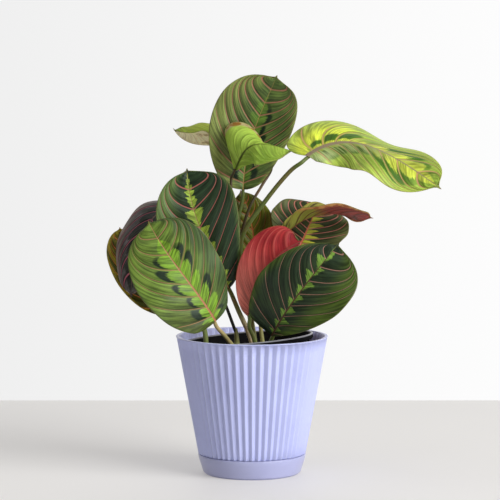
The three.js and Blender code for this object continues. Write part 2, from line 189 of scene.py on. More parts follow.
pot = {
    "rimRadius": 70 * mm, "top": 127 * mm, "wall": 2.4 * mm, "lipHeight": 1 * mm, "lipWidth": 3 * mm,
    "lipRound": 0.5 * mm, "pleats": 56,
    "columns": 14,  # mesh columns for each pleat
    "pleatDepth": 0.036,  # as a part of the radius
    "innerPleatDepth": 0.0245, "ridgeRound": 0.02, "seamRadius": 49.7 * mm, "seamHeight": 18.3 * mm,
    "seamStep": 2.5 * mm,  # how far the wall steps in under the pleats
    "footRadius": 43.5 * mm, "foot": 3.3 * mm, "floorTop": 6.3 * mm, "drains": 4,
    "drainRadius": 3.2 * mm, "drainRing": 24 * mm, "firstDrain": radians(45),
    "glaze": ink(190, 196, 240), "glazeShade": ink(166, 170, 220),
}
# The saucer's glaze is darker than the pot's: partly its own colour, partly painted shade beneath the pot.
saucer = {
    "height": 18 * mm, "floor": 3 * mm, "footRadius": 43.5 * mm, "footRound": 0.9 * mm,
    "rimRound": 0.8 * mm, "innerRimRound": 0.6 * mm, "steps": 192, "glaze": ink(173, 176, 213),
    "glazeShade": ink(151, 153, 196),
}


def spinProfile(points, steps):
    # turns a profile of (radius, height) points, from the axis to the axis, into a closed body
    bm = bmesh.new()
    verts = [bm.verts.new((radius, 0, height)) for radius, height in points]
    edges = [bm.edges.new(pair) for pair in zip(verts, verts[1:])]
    bmesh.ops.spin(
        bm, geom=verts + edges, cent=(0, 0, 0), axis=(0, 0, 1), angle=tau, steps=steps, use_merge=True
    )
    bmesh.ops.remove_doubles(bm, verts=bm.verts, dist=1e-6)
    bmesh.ops.recalc_face_normals(bm, faces=bm.faces)
    return bm


def stretch(start, end, count):
    # points from start up to, not with, end
    return [tuple(blend(a, b, k / count) for a, b in zip(start, end)) for k in range(count)]


def roundEdge(centre, radius, fromAngle, toAngle, count=5):
    turns = [radians(blend(fromAngle, toAngle, k / count)) for k in range(count + 1)]
    return [(centre[0] + radius * cos(a), centre[1] + radius * sin(a)) for a in turns]


def lipEdge(outer, inner, top, edge):
    # over a lip, from its outside to its inside
    low = top - edge
    return roundEdge((outer - edge, low), edge, 0, 90) + roundEdge((inner + edge, low), edge, 90, 180)


def glazeFinish(name, sizes):
    finish = Finish(name, 0.34, Coat_Weight=0.25, Coat_Roughness=0.18)
    soft = finish.grain(22, 2).rises(0.35, 0.7)
    speck = finish.grain(900, 2).rises(0.66, 0.74)
    colour = finish.mix(sizes["glaze"], sizes["glazeShade"], soft * 0.22 + speck * 0.3)
    finish.paint(Base_Color=colour, Roughness=0.3 + 0.1 * finish.grain(140, 2))
    finish.relief(finish.grain(420, 3), 0.00012, 0.35)
    return finish.material


def drill(piece, sizes, height):
    # cuts round drain holes through the floor whose middle is at this height
    cutterLength = 9 * mm
    radius, ring = sizes["drainRadius"], sizes["drainRing"]
    bm = bmesh.new()
    for k in range(sizes["drains"]):
        turn = sizes["firstDrain"] + tau * k / sizes["drains"]
        spot = Matrix.Translation((ring * cos(turn), ring * sin(turn), height))
        bmesh.ops.create_cone(
            bm, cap_ends=True, segments=32, radius1=radius, radius2=radius, depth=cutterLength, matrix=spot
        )
    cutter = linked("drains", bm)
    cut = piece.modifiers.new("drains", "BOOLEAN")
    cut.operation, cut.solver, cut.object = "DIFFERENCE", "EXACT", cutter
    depsgraph = bpy.context.evaluated_depsgraph_get()
    made = bpy.data.meshes.new_from_object(piece.evaluated_get(depsgraph))
    piece.modifiers.clear()
    piece.data = made
    bpy.data.objects.remove(cutter)


def potProfile(pleatTop, innerSeam, innerLow):
    rim, edge = pot["rimRadius"], pot["lipRound"]
    seam, low, step = pot["seamRadius"], pot["seamHeight"], pot["seamStep"]
    under, foot, floor = pot["foot"], pot["footRadius"], pot["floorTop"]
    innerLip = rim - pot["lipWidth"]
    # out under the floor, up the foot and out to the pleats
    points = [(0, under), (foot - 1.6 * mm, under), (foot - 0.7 * mm, under + 1 * mm)]
    points += [(seam - step - 0.3 * mm, low - 0.6 * mm), (seam - step, low), (seam - 0.5 * mm, low)]
    # up the pleats, over the lip and down the pleats inside
    points += stretch((seam, low + 0.4 * mm), (rim - edge, pleatTop), 10) + [(rim - edge, pleatTop)]
    points += [(rim - 0.15 * mm, pleatTop + 0.2 * mm), (rim, pleatTop + 0.4 * mm)]
    points += lipEdge(rim, innerLip, pot["top"], edge) + [(innerLip, pleatTop + 0.4 * mm)]
    points += stretch((innerLip, pleatTop), (innerSeam, innerLow), 8) + [(innerSeam, innerLow)]
    # down inside the foot and in over the floor
    points += [(seam - 5.2 * mm, low - 2 * mm), (foot - 2.4 * mm, floor + 0.8 * mm)]
    return points + [(foot - 3.2 * mm, floor), (15 * mm, floor), (0, floor)]


def makePot():
    seam, rim, low = pot["seamRadius"], pot["rimRadius"], pot["seamHeight"]
    pleatTop = pot["top"] - pot["lipHeight"]
    innerSeam = seam - pot["wall"] + 0.2 * mm
    innerLow = low + 2 * mm
    margin = 0.01 * mm
    bm = spinProfile(potProfile(pleatTop, innerSeam, innerLow), pot["pleats"] * pot["columns"])
    for vert in bm.verts:
        radius = hypot(vert.co.x, vert.co.y)
        rise = (vert.co.z - low) / (pleatTop - low)
        isOuter = radius > blend(seam, rim, rise) - pot["wall"] / 2
        bottom = low if isOuter else innerLow
        if radius < innerSeam - margin or not bottom - margin < vert.co.z < pleatTop + margin:
            continue
        share = (atan2(vert.co.y, vert.co.x) / tau * pot["pleats"]) % 1
        valley = 1 - abs(2 * share - 1)
        valley = hypot(valley, pot["ridgeRound"]) - pot["ridgeRound"]
        scale = 1 - (pot["pleatDepth"] if isOuter else pot["innerPleatDepth"]) * valley
        vert.co.x *= scale
        vert.co.y *= scale
    piece = makeObject("pleatedPot", bm, [glazeFinish("lavenderGlaze", pot)], ["pot"])
    drill(piece, pot, (pot["foot"] + pot["floorTop"]) / 2)


def makeSaucer():
    seam, foot = pot["seamRadius"], saucer["footRadius"]
    height, floor = saucer["height"], saucer["floor"]
    footRound, outer, inner = saucer["footRound"], saucer["rimRound"], saucer["innerRimRound"]
    # out under the foot and up the wall, over the rim, down inside and in over the floor
    points = [(0, 0), (20 * mm, 0), (foot, 0), (foot + 0.4 * mm, footRound)]
    points += roundEdge((foot + footRound, 2 * mm), footRound, -90, -18)
    points += [(seam - 1.2 * mm, 12 * mm), (seam + 0.08 * mm, height - 0.9 * mm)]
    points += roundEdge((seam - 0.75 * mm, height - outer), outer, 8, 90)
    points += roundEdge((seam - 1.4 * mm, height - inner), inner, 90, 180)
    points += [(foot, floor + 0.8 * mm), (foot - 0.8 * mm, floor), (20 * mm, floor), (0, floor)]
    bm = spinProfile(points, saucer["steps"])
    makeObject("saucerDish", bm, [glazeFinish("saucerGlaze", saucer)], ["saucer"])


makePot()
makeSaucer()
print("pot and saucer made")


# Nursery pot and soil

nursery = {
    "height": 116 * mm, "bottomRadius": 37 * mm, "topRadius": 56.5 * mm, "wall": 1 * mm,
    "floor": 1.4 * mm, "footRound": 0.6 * mm, "lipRadius": 60 * mm, "lipHeight": 5 * mm,
    "lipWidth": 2 * mm, "lipRound": 0.7 * mm,
    "shoulder": 1.2 * mm,  # how far below the lip the taper ends inside
    "steps": 144, "rightUp": radians(4.6), "frontUp": radians(1.7),
    "stand": Vector((5.6, -2.2, 9.8)) * mm,
    "lipHighlightFrom": 124.3 * mm,  # heights between which the lip gets a painted highlight, measured without the tilt
    "lipHighlightTo": 125 * mm, "drains": 6, "drainRadius": 3.2 * mm, "drainRing": 26 * mm, "firstDrain": 0,
}
soil = {
    "top": 103 * mm, "gap": 0.3 * mm, "steps": 110, "rings": 26, "unevenness": 1.3, "crumbs": 900,
    "crumbSize": 1.9 * mm, "seed": 7,
}
askew = Matrix.Translation(nursery["stand"])
askew = askew @ Matrix.Rotation(-nursery["frontUp"], 4, "X") @ Matrix.Rotation(-nursery["rightUp"], 4, "Y")


def plasticFinish():
    finish = Finish("blackPlastic", 0.3, Specular_IOR_Level=0.08)
    dust = finish.grain(160, 4).rises(0.45, 0.8)
    x, y, z = finish.parts(finish.place())
    height = z - x * sin(nursery["rightUp"]) + y * sin(nursery["frontUp"])
    # a painted highlight along the lip's top edge: light grey there, and less rough
    lip = height.rises(nursery["lipHighlightFrom"], nursery["lipHighlightTo"])
    black = finish.mix(ink(12, 11, 12), ink(60, 60, 64), dust * 0.15)
    finish.paint(Base_Color=finish.mix(black, ink(160, 160, 166), lip * 0.7))
    finish.paint(Roughness=0.75 + 0.1 * dust - lip * 0.5)
    finish.relief(finish.grain(500, 3), 0.0001, 0.4)
    return finish.material


def makeNurseryPot():
    n = nursery
    lip = n["lipRadius"]
    lipLow = n["height"] - n["lipHeight"]
    # out under the floor, up outside, over the lip and down inside
    points = [(0, 0), (n["bottomRadius"] - n["footRound"], 0), (n["bottomRadius"], n["footRound"])]
    points += [(n["topRadius"], lipLow - 2 * mm), (n["topRadius"] + 0.3 * mm, lipLow - 0.6 * mm)]
    points += [(lip - 0.5 * mm, lipLow), (lip, lipLow + 0.5 * mm)]
    points += lipEdge(lip, lip - n["lipWidth"], n["height"], n["lipRound"])
    points += [(lip - 2.4 * mm, lipLow + n["shoulder"])]
    points += [(n["topRadius"] - n["wall"], lipLow - n["shoulder"])]
    points += [(n["bottomRadius"] - n["wall"], n["floor"]), (0, n["floor"])]
    piece = makeObject("nurseryPot", spinProfile(points, n["steps"]), [plasticFinish()], ["nursery_pot"])
    drill(piece, n, n["floor"] / 2)
    piece.data.transform(askew)


def soilFinish():
    finish = Finish("pottingSoil", 0.95, Specular_IOR_Level=0.0)
    fine = finish.grain(1400, 4)
    coarse = finish.grain(260, 3)
    colour = finish.mix(ink(14, 10, 8), ink(50, 35, 25), fine.rises(0.35, 0.75))
    finish.paint(Base_Color=finish.mix(colour, ink(92, 68, 48), coarse.rises(0.62, 0.74)))
    finish.relief(fine + coarse, 0.0006, 0.8)
    return finish.material


def soilHeight(x, y):
    # the same lumps as the soil's plain body, x and y in millimetres
    lumps = sin(0.31 * x + 1) * cos(0.27 * y) + 0.6 * sin(0.55 * y - 0.4 * x + 2)
    return soil["top"] + soil["unevenness"] * lumps * mm


def makeSoil():
    n, top, gap = nursery, soil["top"], soil["gap"]
    taper = n["height"] - n["lipHeight"] - n["shoulder"] - n["floor"]
    slope = (n["topRadius"] - n["bottomRadius"]) / taper
    inner = n["bottomRadius"] - n["wall"] - gap
    rim = inner + slope * (top - n["floor"]) - 0.2 * mm
    points = [(0, n["floor"] + gap), (inner, n["floor"] + gap), (rim, top)]
    points += stretch((rim * 0.97, top), (0, top), soil["rings"]) + [(0, top)]
    bm = spinProfile(points, soil["steps"])
    for vert in bm.verts:
        if vert.co.z > top - 1 * mm and vert.co.xy.length < rim * 0.98:
            rough = noise.fractal(vert.co * 260, 0.6, 2.1, 4)
            vert.co.z = soilHeight(vert.co.x / mm, vert.co.y / mm) + (rough * 0.9 - 0.3) * mm
    draw = random.Random(soil["seed"])
    for _ in range(soil["crumbs"]):
        turn, out = draw.uniform(0, tau), rim * 0.95 * sqrt(draw.random())
        x, y = out * cos(turn), out * sin(turn)
        size = draw.uniform(0.5, 1.0) ** 2 * soil["crumbSize"]
        spot = Matrix.Translation((x, y, soilHeight(x / mm, y / mm) - 0.2 * mm))
        spin = Matrix.Rotation(draw.uniform(0, tau), 4, Vector((draw.random(), draw.random(), 1)))
        squash = Matrix.Diagonal((size, size * draw.uniform(0.5, 1), size * draw.uniform(0.4, 0.8), 1))
        made = bmesh.ops.create_icosphere(bm, subdivisions=1, radius=1, matrix=spot @ spin @ squash)
        for vert in made["verts"]:
            vert.co += noise.noise_vector(vert.co * 900) * size * 0.25
    piece = makeObject("soilBody", bm, [soilFinish()], ["soil"])
    piece.data.transform(askew)


makeNurseryPot()
makeSoil()
print("nursery pot and soil made")


# Leaves, in millimetres and degrees: the midrib's curve from base to tip, the directions that the upper face
# looks in along it, and for the left and right half the half width, the outline's exponents, the fold at the
# midrib, the curl out to the edge and the base lobe.

blade = {
    "thickness": 0.5 * mm, "veins": 8,
    "veinCrowding": 0.75,  # below 1 the veins stand closer near the base
    "veinSweep": 4,
    "veinSlant": 0.6,  # the share of a vein's rise that it makes at an even slope
    "pleatRise": 0.9,
    "pleatCalm": 10,  # where a half is narrower than this, the pleats get lower
    "edgeWave": 1.3, "edgeWaves": 3,
    "waveShift": 0.23,  # of the right edge's waves
    "waveCalm": 12, "lobeCurve": 1.5, "lobeFade": 2.27, "lobeStart": 0.09, "tipStart": 0.965,
    "tipWidth": 0.05, "rows": 128, "rowCrowding": 1.5, "columns": 64,
    "uvVeins": 20,  # veins and millimetres that the UV maps hold from 0 to 1
    "uvReach": 100, "seedStep": 3.7,
}
leafTable = {
    "leaf_top": {
        "midrib": [(-8, 8, 261), (-7, 10, 303), (9, 8, 333), (23, -2, 366)],
        "faces": [(0.1, -1, 0.4), (0, -1, 0.15)],
        "halfWidths": (42, 34), "outlines": ((0.6, 0.45), (0.49, 0.29)), "fold": (3, 11), "curl": (4, 4),
        "lobes": (0.06, 0.03), "veins": 10, "look": "sage",
    },
    "leaf_folded": {
        "midrib": [(-15.5, -8, 279), (-6.5, -37, 302.7), (-3.4, -29.3, 312), (37.6, -39.8, 298)],
        "faces": [(0.22, 0.8, 0), (-0.5, 0.7, -0.57), (0.15, 0.77, -1)],
        "halfWidths": (26, 40), "outlines": ((1.14, 0.32), (0.45, 1.28)), "fold": (-9, 22),
        "tipFold": (-5, 40), "curl": (17, 39), "tipCurl": (-4, 67), "turnBlend": 3, "look": "limeBack",
    },
    "leaf_back_left": {
        "midrib": [(12, 34, 292), (-8, 44, 315), (-55, 41, 284), (-73, 31, 316.5)],
        "faces": [(0, -0.6, 1), (0, -0.35, 1)],
        "halfWidths": (34, 28), "fold": (47, 20), "curl": (0, 2), "look": "paleBack",
    },
    "leaf_long_right": {
        "midrib": [(50, -8, 293), (88.5, 30, 317.7), (121.6, 10.2, 299.6), (172, -18, 263)],
        "faces": [(-0.61, -1, 0.57), (1, 0.24, 0.59), (-0.64, -0.44, 1)],
        "halfWidths": (45.6, 38.5), "outlines": ((0.44, 0.45), (1, 0.62)), "fold": (-12, 0),
        "tipFold": (0.5, -11), "curl": (-4, -54), "tipCurl": (-1.4, -14), "turnBlend": 0.5,
        "lobes": (0.11, 0.08), "veins": 9, "look": "lime",
    },
    "leaf_mid_left": {
        "midrib": [(-21, -14, 172), (-37, -26, 206), (-58, -32, 242), (-59, -18, 282)],
        "faces": [(0, -1, 0.3), (-0.1, -1, 0.2)],
        "halfWidths": (38, 40), "outlines": ((0.6, 0.5), (0.8, 0.3)), "fold": (5, 5), "curl": (8, 8),
        "look": "darkPink",
    },
    "leaf_front_left": {
        "midrib": [(-33, -42, 145), (-47, -58, 173), (-78, -64, 206), (-93, -46, 236)],
        "faces": [(0.1, -0.8, 0.5), (-0.2, -0.9, 0.4)],
        "halfWidths": (43, 38), "outlines": ((0.5, 0.45), (0.5, 0.35)), "fold": (3, 3), "curl": (-10, -5),
        "look": "brightGreen",
    },
    "leaf_drooping": {
        "midrib": [(-62, 8, 243), (-91, -6, 253), (-110, -20, 217), (-110, -22, 164)],
        "faces": [(-0.3, -0.7, 0.7), (-0.5, -0.9, 0.1)],
        "halfWidths": (28, 26), "curl": (-20, -20), "look": "darkWithSheen",
    },
    "leaf_olive_left": {
        "midrib": [(-77, -8, 150), (-103, -4, 167.5), (-119, 5, 201), (-122, 13, 226)],
        "faces": [(0.1, -1, 0.3), (-0.2, -1, 0.2)],
        "halfWidths": (19, 24), "curl": (20, 20), "look": "olive",
    },
    "leaf_olive_centre": {
        "midrib": [(2, 14, 172), (4, 20, 204), (2, 22, 237), (-11, 16, 260)],
        "faces": [(0, -1, 0.1), (0.1, -1, 0.1)],
        "halfWidths": (20, 23), "outlines": ((0.6, 0.45), (0.6, 0.7)), "fold": (5, 5), "curl": (10, 10),
        "look": "oliveGreen",
    },
    "leaf_red": {
        "midrib": [(-2, -20, 146), (0, -28, 176.5), (15, -34, 206), (45, -32, 217)],
        "faces": [(0, 1, 0.1), (-0.3, 1, -0.2)],
        "halfWidths": (20, 27), "outlines": ((0.6, 0.45), (0.8, 0.35)), "fold": (45, 5), "curl": (25, 10),
        "look": "redBack",
    },
    "leaf_front_right": {
        "midrib": [(18, -40, 131.4), (32, -58, 161), (53, -66, 188), (78, -56, 217)],
        "faces": [(-0.1, -0.85, 0.5), (0, -0.9, 0.5)],
        "halfWidths": (40, 43), "outlines": ((0.4, 0.6), (0.9, 0.4)), "fold": (3, 3), "curl": (5, 5),
        "lobes": (0.07, 0), "alternate": True, "look": "darkForest",
    },
    "leaf_back_right": {
        "midrib": [(44, -6, 210), (50, 2, 222), (56, 12, 236), (63, 26, 247)],
        "faces": [(0, -0.75, 0.6), (0.1, -0.6, 0.8)],
        "halfWidths": (37, 38), "outlines": ((0.5, 0.5), (0.5, 0.5)), "fold": (5, 5), "curl": (10, 10),
        "look": "darkRose",
    },
    "leaf_rolled": {
        "midrib": [(29, -8, 218), (48, -15.6, 243), (72, -32, 244.6), (110.6, -10, 236)],
        "faces": [(0, -0.6, 0.83), (0.14, -0.03, 0.61), (-0.39, 0.32, 1)],
        "halfWidths": (22, 20.7), "outlines": ((0.73, 0.44), (0.83, 0.57)), "fold": (8, 35),
        "tipFold": (-27, 1), "curl": (76, 52), "tipCurl": (38, 1), "turnBlend": 1.3, "look": "rolled",
    },
}
plainLeaf = {
    "outlines": ((0.6, 0.45), (0.6, 0.45)), "fold": (0, 0), "turnBlend": 1, "lobes": (0.04, 0.04),
    "alternate": False, "veins": blade["veins"],
}

# Colours and markings: the field and its edge, the feather-shaped mark beside the midrib, the dark blotches
# beyond it, the veins and the underside. Three numbers are a colour as seen on a screen. Widths, lengths and
# the feather's reach are in millimetres. A key that ends in Half is below 0 for the left half, above 0 for
# the right one and 0 for both.
plainLook = {
    "field": (60, 90, 50), "fieldLight": (70, 100, 56),
    "edge": (90, 120, 60), "edgeFrom": (0.6, 1.0),
    "edgeHalf": 0.0,  # on this half, and this strongly, the edge's colour reaches further in
    "feather": (110, 160, 60), "featherKind": "lobes", "featherReach": (3, 6), "featherShape": 0.8,
    "featherStrength": 0.9, "featherHalf": 0, "featherWidens": 0.0, "featherTo": 0.99,
    "fanGap": 0.0, "tipFeather": 0.8, "ragged": 4.0,
    "blotch": (20, 38, 20), "blotchLength": 0.0, "blotchShare": 0.8, "blotchTo": 1.0,
    "vein": (170, 110, 90), "veinWidth": 0.9, "veinShadow": 0.25,
    "band": 0.2,  # painted shade of the quilting: how much lighter the blade is above each vein than below it
    "baseReach": (0.1, 0.3), "baseHalf": 0,
    "midrib": (150, 100, 70), "midribWidth": 0.9, "rim": (110, 100, 60),
    "under": (150, 62, 70), "underShade": (130, 50, 58), "underEdge": (150, 80, 60),
    "underRib": (176, 96, 92), "underRibStrength": 0.6, "underRibWidth": 1.1,
    "underMidrib": (140, 60, 60), "underMidribWidth": 1.4,
    "underBaseReach": (0.1, 0.6), "underLift": 1.0, "underLiftHalf": 0,
    "dryWidth": 0.0, "dryHalf": 0,
    "glow": 0.0,  # how much light comes through
}
looks = {
    "sage": {
        # the light edge colour is partly the leaf's own margin, partly a painted sheen where it spreads far
        # over the left half
        "field": (78, 98, 46), "fieldLight": (104, 124, 57), "edge": (136, 146, 76),
        "edgeFrom": (0.8, 1.05), "edgeHalf": -0.7, "feather": (100, 138, 46), "featherReach": (3, 4),
        "featherStrength": 0.6, "featherTo": 0.84, "ragged": 9, "blotchLength": 6, "blotchShare": 0.5,
        "vein": (164, 110, 86), "veinWidth": 1.6, "band": 0.5, "midrib": (160, 134, 76),
        "midribWidth": 0.5, "under": (140, 120, 84), "underShade": (120, 104, 70),
    },
    "lime": {
        "field": (149, 178, 65), "fieldLight": (177, 198, 84), "edge": (188, 210, 90),
        "edgeFrom": (0.5, 1.0), "base": (230, 242, 78), "baseReach": (0.3, 0.5), "baseHalf": -1,
        "sheen": (146, 160, 98), "sheenReach": (10, 19), "sheenAlong": (0.52, 0.72), "sheenHalf": 1,
        "feather": (206, 214, 78), "featherReach": (1.8, 3), "ragged": 5, "featherWidens": 2.4,
        "blotch": (64, 108, 30), "blotchLength": 10, "blotchShare": 0.95, "vein": (214, 156, 116),
        "veinWidth": 1.6, "band": 0.3, "midrib": (150, 128, 108), "midribWidth": 2.0,
        "rim": (190, 160, 110), "under": (160, 180, 80), "underShade": (150, 170, 70),
        "underRib": (180, 190, 110), "glow": 0.25, "glowColour": (0.58, 0.72, 0.12, 1.0),
    },
    "limeBack": {
        "field": (96, 134, 56), "fieldLight": (110, 146, 64), "edge": (150, 170, 70),
        "under": (188, 218, 90), "underShade": (150, 190, 72), "underRib": (132, 166, 56),
        "underLift": 1.35, "underLiftHalf": 1, "underMidrib": (64, 62, 34), "underMidribWidth": 0.9,
        "underEdge": (206, 190, 124), "dryWidth": 0.2, "dryAlong": (0.12, 0.95), "dryHalf": 1,
        "dry": (220, 196, 146), "dryBrown": (176, 106, 58), "glow": 0.4,
        "glowColour": (0.55, 0.74, 0.08, 1.0),
    },
    "paleBack": {
        "field": (134, 166, 66), "fieldLight": (150, 178, 76), "edge": (168, 190, 92),
        "feather": (150, 180, 66), "vein": (150, 140, 76), "under": (250, 236, 206),
        "underShade": (240, 226, 176), "underRib": (238, 220, 190), "underMidrib": (170, 130, 94),
        "underEdge": (180, 178, 108), "underSpots": (176, 108, 84), "underLift": 1.6, "glow": 0.45,
        "glowColour": (0.66, 0.7, 0.26, 1.0),
    },
    "darkPink": {
        "field": (36, 55, 33), "fieldLight": (46, 66, 38), "edge": (104, 130, 64),
        "edgeFrom": (0.84, 1.1), "edgeHalf": -0.85, "feather": (152, 178, 64), "featherKind": "fans",
        "featherReach": (0.6, 8), "tipFeather": 0.76, "ragged": 5, "vein": (176, 102, 92),
        "veinWidth": 1.3, "midrib": (158, 108, 70), "midribWidth": 0.5,
    },
    "brightGreen": {
        "field": (92, 116, 46), "fieldLight": (120, 146, 56), "edge": (62, 84, 42),
        "edgeFrom": (0.9, 1.1), "edgeHalf": 0.9, "base": (78, 92, 36), "baseReach": (0.1, 0.5),
        "feather": (118, 158, 42), "featherReach": (4, 8), "featherTo": 0.86, "ragged": 11,
        "blotch": (24, 42, 22), "blotchLength": 7, "blotchShare": 0.6, "blotchTo": 0.72,
        "vein": (158, 118, 82), "veinWidth": 1.1, "band": 0.3, "midrib": (176, 116, 84),
    },
    "darkWithSheen": {
        # the greyish purple of the lighter field is a painted sheen on the dark leaf
        "field": (60, 62, 52), "fieldLight": (124, 112, 116), "edge": (140, 124, 116),
        "feather": (42, 46, 38), "featherReach": (5, 6), "vein": (188, 98, 114), "veinWidth": 1.7,
        "veinShadow": 0.75, "band": 1.1, "midrib": (120, 92, 84),
    },
    # The olive and oliveGreen looks' olive fields and orange veins are partly painted light: a green leaf
    # lit through from behind, its red underside showing.
    "olive": {
        "field": (148, 134, 32), "fieldLight": (182, 168, 46), "edge": (172, 156, 48),
        "feather": (90, 98, 36), "blotch": (76, 84, 30), "blotchLength": 8, "blotchShare": 0.6,
        "vein": (232, 132, 82), "veinWidth": 1.7, "band": 0.5, "midrib": (160, 96, 54), "glow": 0.1,
        "glowColour": (0.5, 0.38, 0.05, 1.0),
    },
    "oliveGreen": {
        "field": (96, 102, 26), "fieldLight": (126, 130, 38), "edge": (132, 142, 44),
        "feather": (122, 130, 40), "featherReach": (1, 2), "vein": (196, 110, 68), "veinWidth": 1.3,
        "band": 0.4, "midrib": (200, 100, 60), "glow": 0.15, "glowColour": (0.4, 0.4, 0.02, 1.0),
    },
    "redBack": {
        "field": (40, 70, 40), "fieldLight": (50, 80, 48), "under": (168, 45, 45),
        "underShade": (140, 30, 40), "underBase": (216, 124, 108), "underBaseReach": (0.1, 0.75),
        "underRib": (214, 104, 92), "underRibStrength": 0.36, "underRibWidth": 1.8,
        "underMidrib": (150, 60, 50), "underEdge": (150, 82, 50),
    },
    "darkForest": {
        "field": (34, 50, 30), "fieldLight": (50, 66, 36), "edge": (74, 94, 28),
        "edgeFrom": (0.76, 1.08), "edgeHalf": 0.9, "feather": (116, 152, 58), "featherKind": "fans",
        "featherReach": (0.3, 7.5), "fanGap": 0.3, "tipFeather": 0.94, "ragged": 6,
        "vein": (170, 124, 106), "midrib": (84, 60, 38),
    },
    "darkRose": {
        "field": (54, 64, 38), "fieldLight": (74, 84, 50), "edge": (100, 106, 62),
        "feather": (206, 208, 70), "featherKind": "fans", "featherReach": (0.5, 11), "featherHalf": 1,
        "ragged": 7, "vein": (200, 124, 110), "veinWidth": 1.3, "midrib": (214, 112, 82),
        "midribWidth": 0.8,
    },
    "rolled": {
        "field": (92, 92, 44), "fieldLight": (124, 120, 52), "edge": (168, 164, 74),
        "edgeFrom": (0.6, 0.9), "feather": (110, 104, 50), "vein": (74, 54, 38), "veinWidth": 2.6,
        "under": (156, 70, 62), "underShade": (120, 60, 50), "underBase": (150, 152, 60),
        "underBaseReach": (0.4, 0.62), "underRib": (84, 50, 36), "underRibStrength": 0.9,
        "underRibWidth": 2.2, "underEdge": (206, 158, 84), "dryWidth": 0.3, "dryAlong": (0.35, 0.98),
        "dry": (206, 150, 86), "dryBrown": (170, 96, 60), "glow": 0.15,
        "glowColour": (0.6, 0.3, 0.1, 1.0),
    },
}


def bezier(points, u):
    a, b, c, d = points
    return a * (1 - u) ** 3 + b * 3 * u * (1 - u) ** 2 + c * 3 * u * u * (1 - u) + d * u ** 3


def bezierTangent(points, u):
    a, b, c, d = points
    return ((b - a) * (1 - u) ** 2 + (c - b) * 2 * u * (1 - u) + (d - c) * u * u).normalized()


def leafShape(entry):
    # s is where a vein starts on the midrib, and v goes from the left edge at -1 to the right edge at 1
    leaf = {**plainLeaf, **entry}
    leaf = {"tipFold": leaf["fold"], "tipCurl": leaf["curl"], **leaf}
    midrib = [Vector(point) for point in leaf["midrib"]]
    faces = [Vector(face).normalized() for face in leaf["faces"]]
    if len(faces) == 2:
        faces.insert(1, (faces[0] + faces[1]) / 2)

    def axes(u):
        inside = clamp(u, 0.001, 0.999)
        along = bezierTangent(midrib, inside)
        up = faces[0] * (1 - inside) ** 2 + faces[1] * 2 * inside * (1 - inside) + faces[2] * inside ** 2
        up = (up - along * up.dot(along)).normalized()
        return along, up, along.cross(up)

    def halfWidth(u, side):
        p, q = leaf["outlines"][side]
        widest = p / (p + q)
        share = clamp(u / blade["tipStart"])
        body = (share / widest) ** p * ((1 - share) / (1 - widest)) ** q
        point = blade["tipWidth"] * min(1, (1 - u) / (1 - blade["tipStart"])) if u > 0.5 else 0
        return leaf["halfWidths"][side] * hypot(body, point)

    def veinNumber(s):
        return leaf["veins"] * s ** blade["veinCrowding"]

    def sweep(s, t):
        slant = blade["veinSlant"]
        return s + (1 - (1 - s) ** blade["veinSweep"] - s) * (slant * t + (1 - slant) * t ** 3)

    def place(s, v):
        side, t = (0, -v) if v < 0 else (1, v)
        u = sweep(s, t)
        fade = (1 - u) ** blade["lobeFade"] * min(1, u / blade["lobeStart"])
        lobe = leaf["lobes"][side] * t ** blade["lobeCurve"] * fade
        _, up, across = axes(u)
        width = halfWidth(u, side)
        turnShare = u ** leaf["turnBlend"]
        fold = radians(blend(leaf["fold"][side], leaf["tipFold"][side], turnShare))
        curl = radians(blend(leaf["curl"][side], leaf["tipCurl"][side], turnShare) or 0.1)
        out = width * (sin(fold + curl * t) - sin(fold)) / curl
        rise = width * (cos(fold) - cos(fold + curl * t)) / curl
        phase = blade["edgeWaves"] * u + (blade["waveShift"] if side else 0)
        rise += blade["edgeWave"] * t ** 2 * sin(tau * phase) * min(1, width / blade["waveCalm"])
        vein = veinNumber(s) + (0.5 if side and leaf["alternate"] else 0)
        envelope = min(1, 4 * t) * (1 - t ** 3) * min(1, width / blade["pleatCalm"])
        rise += blade["pleatRise"] * abs(sin(pi * vein)) * envelope
        point = bezier(midrib, u - lobe) + across * (out if side else -out) + up * rise
        return point * mm, u, width * t

    return leaf, midrib, axes, veinNumber, sweep, place


def makeLeaf(node, shape, materials):
    leaf, midrib, axes, veinNumber, sweep, place = shape
    spots = [bezier(midrib, k / 40) for k in range(41)]
    length = sum((b - a).length for a, b in zip(spots, spots[1:]))
    bm = bmesh.new()
    bmesh.ops.create_grid(bm, x_segments=blade["columns"], y_segments=blade["rows"], size=1)
    veinMap = bm.loops.layers.uv.new("veinMap")
    placeMap = bm.loops.layers.uv.new("placeMap")
    spacing = bm.verts.layers.float.new("spacing")
    found = {}
    step = 0.01
    for vert in bm.verts:
        v, s = clamp(vert.co.x, -1, 1), clamp((vert.co.y + 1) / 2) ** blade["rowCrowding"]
        point, u, reach = place(s, v)
        found[vert] = (s, v, u, reach)
        near, far = max(0, s - step), min(1, s + step)
        climb = sweep(far, abs(v)) - sweep(near, abs(v))
        vert[spacing] = length * climb / (veinNumber(far) - veinNumber(near))
        vert.co = point
    for face in bm.faces:
        for loop in face.loops:
            s, v, u, reach = found[loop.vert]
            loop[veinMap].uv = (veinNumber(s) / blade["uvVeins"], (v + 1) / 2)
            loop[placeMap].uv = (u, reach / blade["uvReach"])
    bmesh.ops.remove_doubles(bm, verts=bm.verts, dist=1e-6)
    piece = makeObject(node.replace("leaf_", "blade_"), bm, materials, [node])
    skin = piece.modifiers.new("thickness", "SOLIDIFY")
    skin.thickness, skin.offset, skin.material_offset = blade["thickness"], 0, 1


